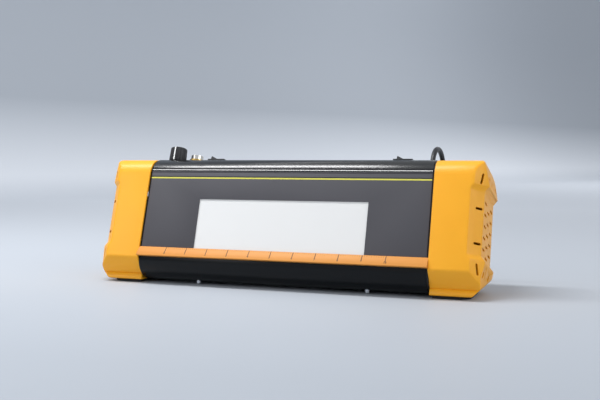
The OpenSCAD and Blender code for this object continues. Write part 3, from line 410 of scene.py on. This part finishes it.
# A satin film: grains of about 0.6 mm soften the highlight, and the orange drifts slowly.
orange, tree = blank("Orange printed film over sheet, satin")
place = add(tree, "ShaderNodeTexCoord")
grain = add(tree, "ShaderNodeTexNoise", {"Vector": (place, "Object"), "Scale": per_metre(0.625)})
cloud = add(tree, "ShaderNodeTexNoise", {"Vector": (place, "Object"), "Scale": per_metre(100)})
tint = add(tree, "ShaderNodeMix", {6: linear("#D48C3E"), 7: linear("#DA9446"),
    "Factor": (cloud, "Fac")}, data_type="RGBA")
gloss = add(tree, "ShaderNodeMapRange", {"Value": (grain, "Fac"), "To Min": 0.4, "To Max": 0.52})
shader = add(tree, "ShaderNodeBsdfPrincipled", {"Base Color": (tint, 2),
    "Roughness": (gloss, "Result"), "IOR": 1.36})
add(tree, "ShaderNodeOutputMaterial", {"Surface": (shader, "BSDF")})
dress(ledge, orange)
# The ledge leans out by SLOPE from its upper edge, which is so far up the front and so far
# proud of it.
SLOPE = radians(27.24)
EDGE_UP, EDGE_PROUD = 0.0099, 0.0008


def on_ledge(x, down):
    """A point on the ledge's sloping face, at a distance down from its upper edge."""
    return leaned(x, -EDGE_PROUD - down * sin(SLOPE), EDGE_UP - down * cos(SLOPE))


# The scale starts at ZERO_X. Each kind of mark has its length and its width.
INCH = 0.0254
ZERO_X = -0.1313
MARK_START = 0.0002
INCH_MARK = (0.0074, 0.0008)
TENTH_MARK = (0.0024, 0.00016)
marks = []
tick = printed_bar((0, 0, 0), 1, 1, SLOPE)
for tenth in range(101):
    length, width = INCH_MARK if tenth % 10 == 0 else TENTH_MARK
    mark = bpy.data.objects.new("tick", tick.data.copy())
    scene.collection.objects.link(mark)
    turn = Matrix.Rotation(-LEAN - SLOPE, 4, "X")
    centre = on_ledge(ZERO_X + tenth * INCH / 10, MARK_START + length / 2)
    mark.data.transform(Matrix.Translation(centre) @ turn
        @ Matrix.Diagonal((width, 1, length, 1)) @ turn.inverted())
    marks.append(mark)
bpy.data.objects.remove(tick)
# The numbers stand under the inch marks, with strokes a little heavier than the face's own.
NUMBER_H, NUMBER_DOWN = 0.0034, 0.0096
NUMBER_T = 0.00003
HEAVIER = 0.00009
for inch in range(11):
    bpy.ops.object.select_all(action="DESELECT")
    bpy.ops.object.text_add()
    number = bpy.context.object
    number.data.body = str(inch)
    number.data.align_x = "CENTER"
    number.data.size = NUMBER_H
    number.data.offset = HEAVIER
    number.data.extrude = NUMBER_T
    bpy.ops.object.convert(target="MESH")
    number = bpy.context.object
    number.data.transform(Matrix.LocRotScale(on_ledge(ZERO_X + inch * INCH, NUMBER_DOWN),
        Matrix.Rotation(pi / 2 - LEAN - SLOPE, 3, "X"), Vector((1, 1, 1))))
    marks.append(number)
bpy.ops.object.select_all(action="DESELECT")
for mark in marks:
    mark.select_set(True)
bpy.context.view_layer.objects.active = marks[0]
bpy.ops.object.join()
scale_marks = bpy.context.object
scale_marks.name = "ledge_scale"
dress(scale_marks, ink("Brown-black printing ink", "#3A1F10", 0.5))
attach(scale_marks, "viewer")


# Diffuser: a sheet of opal acrylic in the window, which spreads the light of the LEDs behind
# it. Its face is satin, with grains of about 1.1 mm, and the body of the plastic is milky.
opal, tree = blank("Opal acrylic, satin")
place = add(tree, "ShaderNodeTexCoord")
grain = add(tree, "ShaderNodeTexNoise", {"Vector": (place, "Object"), "Scale": per_metre(1.11)})
gloss = add(tree, "ShaderNodeMapRange", {"Value": (grain, "Fac"), "To Min": 0.36, "To Max": 0.44})
shader = add(tree, "ShaderNodeBsdfPrincipled", {"Base Color": linear("#D6D6D5"),
    "Roughness": (gloss, "Result"), "IOR": 1.49, "Emission Color": linear("#F4F4F2"),
    "Emission Strength": 0.1})
add(tree, "ShaderNodeOutputMaterial", {"Surface": (shader, "BSDF")})
dress(nodes["diffuser_plate"], opal)


# Light source: a white-painted sheet frame behind the diffuser, an aluminium-backed board of
# LEDs under yellow phosphor, and an extruded heat sink on two zinc-plated brackets.
white_paint, tree = blank("White powder coat")
place = add(tree, "ShaderNodeTexCoord")
# Orange peel of about 1.2 mm, which dapples the highlight.
peel = add(tree, "ShaderNodeTexNoise", {"Vector": (place, "Object"), "Scale": per_metre(1.25)})
bump = add(tree, "ShaderNodeBump", {"Height": (peel, "Fac"), "Strength": 0.15, "Distance": 0.0002})
gloss = add(tree, "ShaderNodeMapRange", {"Value": (peel, "Fac"), "To Min": 0.5, "To Max": 0.62})
shader = add(tree, "ShaderNodeBsdfPrincipled", {"Base Color": linear("#ECECEA"),
    "Roughness": (gloss, "Result"), "Normal": (bump, "Normal")})
add(tree, "ShaderNodeOutputMaterial", {"Surface": (shader, "BSDF")})
dress(nodes["light_box"], white_paint)

# The mask is smooth, and the copper under it shows faintly, in fields 6.25 mm wide.
# A brick of the pattern is half of its unit wide.
FIELD = 0.5
white_mask, tree = blank("White solder mask on aluminium board")
place = add(tree, "ShaderNodeTexCoord")
copper = add(tree, "ShaderNodeTexBrick", {"Vector": (place, "Object"),
    "Scale": FIELD * per_metre(6.25), "Mortar Size": 0.01, "Mortar": linear("#CBD0D0"),
    "Color1": linear("#E6EAE9"), "Color2": linear("#DEE3E3")})
shader = add(tree, "ShaderNodeBsdfPrincipled", {"Base Color": (copper, "Color"),
    "Roughness": 0.35})
add(tree, "ShaderNodeOutputMaterial", {"Surface": (shader, "BSDF")})
dress(nodes["led_board"], white_mask)

# Grains of phosphor, 0.33 mm across, show through a clear and shiny skin.
phosphor, tree = blank("Phosphor in clear silicone")
place = add(tree, "ShaderNodeTexCoord")
grains = add(tree, "ShaderNodeTexNoise", {"Vector": (place, "Object"), "Scale": per_metre(0.333)})
tint = add(tree, "ShaderNodeMix", {6: linear("#E9D45C"), 7: linear("#F4E37C"),
    "Factor": (grains, "Fac")}, data_type="RGBA")
shader = add(tree, "ShaderNodeBsdfPrincipled", {"Base Color": (tint, 2), "Roughness": 0.22,
    "IOR": 1.41})
add(tree, "ShaderNodeOutputMaterial", {"Surface": (shader, "BSDF")})
dress(nodes["led_array"], phosphor)

# Die lines about 0.45 mm apart give the bare metal a brushed sheen along its length.
mill_aluminium, tree = blank("Extruded aluminium, mill finish")
place = add(tree, "ShaderNodeTexCoord")
stretch = add(tree, "ShaderNodeMapping", {"Vector": (place, "Object"),
    "Scale": (per_metre(167), per_metre(0.455), per_metre(0.455))})
lines = add(tree, "ShaderNodeTexNoise", {"Vector": (stretch, "Vector"), "Scale": 1.0})
gloss = add(tree, "ShaderNodeMapRange", {"Value": (lines, "Fac"), "To Min": 0.32, "To Max": 0.48})
bump = add(tree, "ShaderNodeBump", {"Height": (lines, "Fac"), "Strength": 0.2, "Distance": 0.0001})
shader = add(tree, "ShaderNodeBsdfPrincipled", {"Base Color": linear("#C3C6CA"), "Metallic": 1.0,
    "Roughness": (gloss, "Result"), "Normal": (bump, "Normal")})
add(tree, "ShaderNodeOutputMaterial", {"Surface": (shader, "BSDF")})
dress(nodes["heat_sink"], mill_aluminium)

# Bright plating, in spangles of about 1.1 mm that vary in tone and gloss.
zinc, tree = blank("Zinc-plated steel")
place = add(tree, "ShaderNodeTexCoord")
spangle = add(tree, "ShaderNodeTexVoronoi", {"Vector": (place, "Object"),
    "Scale": per_metre(1.11)})
gloss = add(tree, "ShaderNodeMapRange", {"Value": (spangle, "Distance"), "To Min": 0.2,
    "To Max": 0.34})
tint = add(tree, "ShaderNodeMix", {6: linear("#D3D7DC"), 7: linear("#BFC4CA"),
    "Factor": (spangle, "Distance")}, data_type="RGBA")
shader = add(tree, "ShaderNodeBsdfPrincipled", {"Base Color": (tint, 2), "Metallic": 1.0,
    "Roughness": (gloss, "Result")})
add(tree, "ShaderNodeOutputMaterial", {"Surface": (shader, "BSDF")})
for part in ("heat_sink_screws", "sink_brackets", "base_screws", "left_plate_screws",
        "right_plate_screws", "left_cap_screws", "right_cap_screws", "left_fan_screws",
        "right_fan_screws", "dimmer_nut"):
    dress(nodes[part], zinc)


# Driver: a glass-fibre board with green mask in the card rails, its transformer wound under
# yellow tape, and its capacitors in blue sleeves. The mask is glossy, and darker between the
# tracks under it, which are 2.3 mm long.
green_mask, tree = blank("Green solder mask on glass fibre")
place = add(tree, "ShaderNodeTexCoord")
tracks = add(tree, "ShaderNodeTexBrick", {"Vector": (place, "Object"),
    "Scale": FIELD * per_metre(2.27), "Mortar Size": 0.03, "Mortar": linear("#234F2D"),
    "Color1": linear("#2C6238"), "Color2": linear("#2F6B3D")})
shader = add(tree, "ShaderNodeBsdfPrincipled", {"Base Color": (tracks, "Color"),
    "Roughness": 0.3})
add(tree, "ShaderNodeOutputMaterial", {"Surface": (shader, "BSDF")})
dress(nodes["driver_board"], green_mask)

# Wraps of tape, about 2 mm apart, each of which lifts the highlight a little.
# The bands of a wave pattern are 0.314 of its unit apart.
BAND = 0.31416
tape, tree = blank("Polyester tape over winding")
place = add(tree, "ShaderNodeTexCoord")
wraps = add(tree, "ShaderNodeTexWave", {"Vector": (place, "Object"),
    "Scale": BAND * per_metre(1.96), "Distortion": 1.0}, bands_direction="Z")
bump = add(tree, "ShaderNodeBump", {"Height": (wraps, "Fac"), "Strength": 0.2, "Distance": 0.0003})
tint = add(tree, "ShaderNodeMix", {6: linear("#CFB944"), 7: linear("#DCC853"),
    "Factor": (wraps, "Fac")}, data_type="RGBA")
shader = add(tree, "ShaderNodeBsdfPrincipled", {"Base Color": (tint, 2), "Roughness": 0.3,
    "Normal": (bump, "Normal")})
add(tree, "ShaderNodeOutputMaterial", {"Surface": (shader, "BSDF")})
dress(nodes["driver_transformer"], tape)

# A shiny skin with soft folds of about 2 mm.
sleeve, tree = blank("Shrunk PVC sleeve, dark blue")
place = add(tree, "ShaderNodeTexCoord")
folds = add(tree, "ShaderNodeTexNoise", {"Vector": (place, "Object"), "Scale": per_metre(2)})
gloss = add(tree, "ShaderNodeMapRange", {"Value": (folds, "Fac"), "To Min": 0.22, "To Max": 0.32})
shader = add(tree, "ShaderNodeBsdfPrincipled", {"Base Color": linear("#22406B"),
    "Roughness": (gloss, "Result")})
add(tree, "ShaderNodeOutputMaterial", {"Surface": (shader, "BSDF")})
dress(nodes["driver_capacitors"], sleeve)


# End plates: black powder-coated sheet, 2 mm thick, screwed to the ends of the extrusion. Each
# one carries a fan, moulded in black, and a cap. Orange peel of about 1.1 mm dulls the coat.
black_powder, tree = blank("Black powder coat")
place = add(tree, "ShaderNodeTexCoord")
peel = add(tree, "ShaderNodeTexNoise", {"Vector": (place, "Object"), "Scale": per_metre(1.11)})
gloss = add(tree, "ShaderNodeMapRange", {"Value": (peel, "Fac"), "To Min": 0.5, "To Max": 0.65})
shader = add(tree, "ShaderNodeBsdfPrincipled", {"Base Color": linear("#101113"),
    "Roughness": (gloss, "Result")})
add(tree, "ShaderNodeOutputMaterial", {"Surface": (shader, "BSDF")})
# Flow marks of about 7 mm cloud the moulding where glass comes to its surface.
fan_plastic, tree = blank("Glass-filled polyester, black")
place = add(tree, "ShaderNodeTexCoord")
flow = add(tree, "ShaderNodeTexNoise", {"Vector": (place, "Object"),
    "Scale": per_metre(6.67), "Detail": 4.0})
tint = add(tree, "ShaderNodeMix", {6: linear("#151619"), 7: linear("#1F2024"),
    "Factor": (flow, "Fac")}, data_type="RGBA")
gloss = add(tree, "ShaderNodeMapRange", {"Value": (flow, "Fac"), "To Min": 0.4, "To Max": 0.55})
shader = add(tree, "ShaderNodeBsdfPrincipled", {"Base Color": (tint, 2),
    "Roughness": (gloss, "Result")})
add(tree, "ShaderNodeOutputMaterial", {"Surface": (shader, "BSDF")})
for side in ("left", "right"):
    dress(nodes[side + "_end_plate"], black_powder)
    dress(nodes[side + "_fan_frame"], fan_plastic)
    dress(nodes[side + "_fan_rotor"], fan_plastic)


# End caps: moulded ABS in amber yellow, shelled, with a recessed band and slots for air. The
# mould gives every crease a soft radius and the faces a very fine texture.
amber, tree = blank("Amber ABS, fine moulded texture")
place = add(tree, "ShaderNodeTexCoord")
# A spark-eroded texture of about 0.5 mm makes it satin, and a little light passes under the skin.
grain = add(tree, "ShaderNodeTexNoise", {"Vector": (place, "Object"), "Scale": per_metre(0.5)})
cloud = add(tree, "ShaderNodeTexNoise", {"Vector": (place, "Object"), "Scale": per_metre(55.6)})
tint = add(tree, "ShaderNodeMix", {6: linear("#F5A91C"), 7: linear("#F9B024"),
    "Factor": (cloud, "Fac")}, data_type="RGBA")
gloss = add(tree, "ShaderNodeMapRange", {"Value": (grain, "Fac"), "To Min": 0.34, "To Max": 0.44})
bump = add(tree, "ShaderNodeBump", {"Height": (grain, "Fac"), "Strength": 0.06, "Distance": 0.0001})
shader = add(tree, "ShaderNodeBsdfPrincipled", {"Base Color": (tint, 2),
    "Roughness": (gloss, "Result"), "Normal": (bump, "Normal"), "IOR": 1.42,
    "Subsurface Weight": 0.06, "Subsurface Radius": (0.004, 0.002, 0.0005)})
add(tree, "ShaderNodeOutputMaterial", {"Surface": (shader, "BSDF")})
# The creases have a radius of 2.4 mm, or as much as a slot beside them leaves, and the rim 0.6 mm.
# A crease takes up most of the room beside it, and never less than a fifth of the full radius.
CREASE_R = 0.0024
RIM_R = 0.0006
SHORT = 0.0006
RIM_LAP = 0.0002
CREASE_TURN = radians(12)
ROOM_SHARE = 0.62
LEAST_SHARE = 0.2
# Creases whose lines pass within 0.2 mm of each other, much the same way, count as one.
APART, WAY_STEP = 0.0002, 0.05


def outer_faces(shell):
    """The faces that see out along their normal: the rest line the shell or a slot."""
    clear = 0.0001
    tree = BVHTree.FromBMesh(shell)
    return {face for face in shell.faces if tree.ray_cast(
        face.calc_center_median() + face.normal * clear, face.normal)[0] is None}


cap = merged_copy("right_end_cap", "right_vent_cap")
shell = bmesh.new()
shell.from_mesh(cap.data)
outside = outer_faces(shell)
# Where two creases end a fraction of a millimetre apart they are brought to one corner.
stubs = [edge for edge in shell.edges if edge.calc_length() < SHORT
    and all(face in outside for vert in edge.verts for face in vert.link_faces)
    and all(other is edge or other.calc_length() > SHORT
        for vert in edge.verts for other in vert.link_edges)]
bmesh.ops.weld_verts(shell, targetmap={edge.verts[0]: edge.verts[1] for edge in stubs})
outside = outer_faces(shell)
rim = min(abs(vert.co.x) for vert in shell.verts) + RIM_LAP
mouths = [vert.co for vert in shell.verts if abs(vert.co.x) > rim
    and 0 < sum(face in outside for face in vert.link_faces) < len(vert.link_faces)]
weight = shell.edges.layers.float.new("bevel_weight_edge")
creases = {}
for edge in shell.edges:
    start, end = (vert.co for vert in edge.verts)
    if edge.calc_face_angle(0) < CREASE_TURN or edge.calc_length() < SHORT:
        continue
    if max(abs(start.x), abs(end.x)) < rim:
        edge[weight] = RIM_R / CREASE_R
    elif all(face in outside for face in edge.link_faces):
        way = (end - start).normalized()
        foot = start - way * start.dot(way)
        room = min(((start.lerp(end, min(max(intersect_point_line(point, start, end)[1], 0), 1))
            - point).length for point in mouths), default=CREASE_R)
        line = tuple(round(value / APART) for value in foot) + tuple(
            round(abs(value) / WAY_STEP) for value in way)
        creases.setdefault(line, []).append((edge, room))
for line in creases.values():
    tightest = min(room for edge, room in line)
    share = min(1.0, max(LEAST_SHARE, ROOM_SHARE * tightest / CREASE_R))
    for edge, room in line:
        edge[weight] = share
shell.to_mesh(cap.data)
shell.free()
soften(cap, CREASE_R, segments=4, smooth=28, weighted=True)
dress(cap, amber)
# The left cap is the mirror image of the right one.
mirrored = bpy.data.objects.new("left_vent_cap", cap.data.copy())
scene.collection.objects.link(mirrored)
mirrored.data.transform(Matrix.Scale(-1, 4, (1, 0, 0)))
mirrored.data.flip_normals()
for piece, side in ((cap, "right"), (mirrored, "left")):
    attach(piece, "viewer")
    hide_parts(side + "_end_cap")


# Foot pads: black rubber under each cap, with soft edges. They have a dull skin, roughened by
# grains of about 0.7 mm.
rubber, tree = blank("Nitrile rubber, matt")
place = add(tree, "ShaderNodeTexCoord")
grain = add(tree, "ShaderNodeTexNoise", {"Vector": (place, "Object"), "Scale": per_metre(0.667)})
gloss = add(tree, "ShaderNodeMapRange", {"Value": (grain, "Fac"), "To Min": 0.62, "To Max": 0.78})
bump = add(tree, "ShaderNodeBump", {"Height": (grain, "Fac"), "Strength": 0.2, "Distance": 0.0002})
shader = add(tree, "ShaderNodeBsdfPrincipled", {"Base Color": linear("#101114"),
    "Roughness": (gloss, "Result"), "Normal": (bump, "Normal")})
add(tree, "ShaderNodeOutputMaterial", {"Surface": (shader, "BSDF")})
for side in ("left", "right"):
    pad = merged_copy(side + "_foot_pad", side + "_rubber_pad")
    soften(pad, 0.0005)
    dress(pad, rubber)
    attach(pad, "viewer")
    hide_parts(side + "_foot_pad")


# Dimmer: a fluted knob, moulded in black and a little conical, on the shaft of a plated
# potentiometer. A white line is inlaid over its top and down its side.
knob = merged_copy("dimmer_knob", "fluted_knob")
soften(knob, 0.0003, turn=25)
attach(knob, "dimmer")
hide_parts("dimmer_knob")
# A satin moulding with a fine texture of about 0.6 mm.
black_abs, tree = blank("Black ABS, satin moulded")
place = add(tree, "ShaderNodeTexCoord")
grain = add(tree, "ShaderNodeTexNoise", {"Vector": (place, "Object"), "Scale": per_metre(0.556)})
cloud = add(tree, "ShaderNodeTexNoise", {"Vector": (place, "Object"), "Scale": per_metre(8.33)})
tint = add(tree, "ShaderNodeMix", {6: linear("#17181B"), 7: linear("#1F2024"),
    "Factor": (cloud, "Fac")}, data_type="RGBA")
gloss = add(tree, "ShaderNodeMapRange", {"Value": (grain, "Fac"), "To Min": 0.32, "To Max": 0.42})
shader = add(tree, "ShaderNodeBsdfPrincipled", {"Base Color": (tint, 2),
    "Roughness": (gloss, "Result"), "IOR": 1.53})
add(tree, "ShaderNodeOutputMaterial", {"Surface": (shader, "BSDF")})
dress(knob, black_abs)
dress(nodes["knob_pointer"], ink("White inlay paint", "#F2F2F0", 0.45))
dress(nodes["dimmer_potentiometer"], zinc)
dress(nodes["dimmer_shaft"], mill_aluminium)


# Foot switch socket: a nickel-plated collar in a gold-toned ring, with a black insert and
# three plated contacts. The plating is bright, softened by rub marks of about 1.4 mm.
nickel, tree = blank("Nickel plate, satin")
place = add(tree, "ShaderNodeTexCoord")
rubs = add(tree, "ShaderNodeTexNoise", {"Vector": (place, "Object"),
    "Scale": per_metre(1.43), "Detail": 3.0})
gloss = add(tree, "ShaderNodeMapRange", {"Value": (rubs, "Fac"), "To Min": 0.16, "To Max": 0.28})
shader = add(tree, "ShaderNodeBsdfPrincipled", {"Base Color": linear("#DCD9D2"), "Metallic": 1.0,
    "Roughness": (gloss, "Result")})
add(tree, "ShaderNodeOutputMaterial", {"Surface": (shader, "BSDF")})
# The same marks in a warm yellow, a little duller.
gold, tree = blank("Gold-toned plating on brass")
place = add(tree, "ShaderNodeTexCoord")
rubs = add(tree, "ShaderNodeTexNoise", {"Vector": (place, "Object"),
    "Scale": per_metre(1.43), "Detail": 3.0})
gloss = add(tree, "ShaderNodeMapRange", {"Value": (rubs, "Fac"), "To Min": 0.22, "To Max": 0.36})
shader = add(tree, "ShaderNodeBsdfPrincipled", {"Base Color": linear("#C9A45A"), "Metallic": 1.0,
    "Roughness": (gloss, "Result")})
add(tree, "ShaderNodeOutputMaterial", {"Surface": (shader, "BSDF")})
dress(nodes["socket_shell"], nickel)
dress(nodes["socket_ring"], gold)
dress(nodes["socket_insert"], fan_plastic)
for part in ("socket_contacts", "switch_terminals", "plug_pins"):
    dress(nodes[part], gold)


# Rocker switches: a black snap-in frame with a rocker whose raised end stands over the top of
# the body. The frame is matt, and the rocker has the sheen of polycarbonate, clouded by touch
# in patches of about 5 mm.
rocker_gloss, tree = blank("Black polycarbonate, semi-gloss")
place = add(tree, "ShaderNodeTexCoord")
cloud = add(tree, "ShaderNodeTexNoise", {"Vector": (place, "Object"),
    "Scale": per_metre(5), "Detail": 3.0})
gloss = add(tree, "ShaderNodeMapRange", {"Value": (cloud, "Fac"), "To Min": 0.3, "To Max": 0.4})
shader = add(tree, "ShaderNodeBsdfPrincipled", {"Base Color": linear("#1D1E22"),
    "Roughness": (gloss, "Result"), "IOR": 1.58})
add(tree, "ShaderNodeOutputMaterial", {"Surface": (shader, "BSDF")})
for switch in ("mode", "power"):
    bezel = merged_copy(switch + "_rocker_frame", switch + "_switch_frame")
    soften(bezel, 0.0003)
    dress(bezel, black_abs)
    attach(bezel, "viewer")
    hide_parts(switch + "_rocker_frame")
    rocker = merged_copy(switch + "_rocker", switch + "_switch_rocker")
    soften(rocker, 0.0005, segments=3)
    dress(rocker, rocker_gloss)
    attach(rocker, switch + "_switch")
    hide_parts(switch + "_rocker")


# Strain relief and its nut: a ribbed, tapered sleeve of soft black plastic that snaps into
# the top face.
relief = merged_copy("cord_relief", "ribbed_relief")
soften(relief, 0.0002)
dress(relief, rubber)
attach(relief, "viewer")
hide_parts("cord_relief")
dress(nodes["relief_nut"], fan_plastic)


# Tie: a woven hook-and-loop strap round the coil, with rounded corners and a free end.
strap = merged_copy("cord_tie", "coil_strap")
soften(strap, 0.0009, segments=4, smooth=60)
woven, tree = blank("Woven nylon strap")
place = add(tree, "ShaderNodeTexCoord")
# Threads about 0.8 mm apart, across and along, catch the light at their crossings.
weave = add(tree, "ShaderNodeTexWave", {"Vector": (place, "Object"),
    "Scale": BAND * per_metre(0.785), "Distortion": 0.6}, bands_direction="Z")
cross = add(tree, "ShaderNodeTexWave", {"Vector": (place, "Object"),
    "Scale": BAND * per_metre(0.785), "Distortion": 0.6}, bands_direction="DIAGONAL")
mesh = add(tree, "ShaderNodeMath", {0: (weave, "Fac"), 1: (cross, "Fac")}, operation="MULTIPLY")
bump = add(tree, "ShaderNodeBump", {"Height": (mesh, "Value"), "Strength": 0.5,
    "Distance": 0.0003})
tint = add(tree, "ShaderNodeMix", {6: linear("#1D1E22"), 7: linear("#33353B"),
    "Factor": (mesh, "Value")}, data_type="RGBA")
shader = add(tree, "ShaderNodeBsdfPrincipled", {"Base Color": (tint, 2), "Roughness": 0.8,
    "Normal": (bump, "Normal"), "Sheen Weight": 0.3})
add(tree, "ShaderNodeOutputMaterial", {"Surface": (shader, "BSDF")})
dress(strap, woven)
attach(strap, "viewer")
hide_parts("cord_tie")


# Plug: a moulded black body with rounded edges and three flat brass blades. The blades are
# set into its end.
plug = merged_copy("plug_body", "moulded_plug")
soften(plug, 0.0014, segments=4, smooth=50)
dress(plug, cord_pvc)
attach(plug, "viewer")
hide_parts("plug_body")


# The finished size: every mesh's box is brought up to date.
for mesh in bpy.data.meshes:
    mesh.update()
bpy.context.view_layer.update()
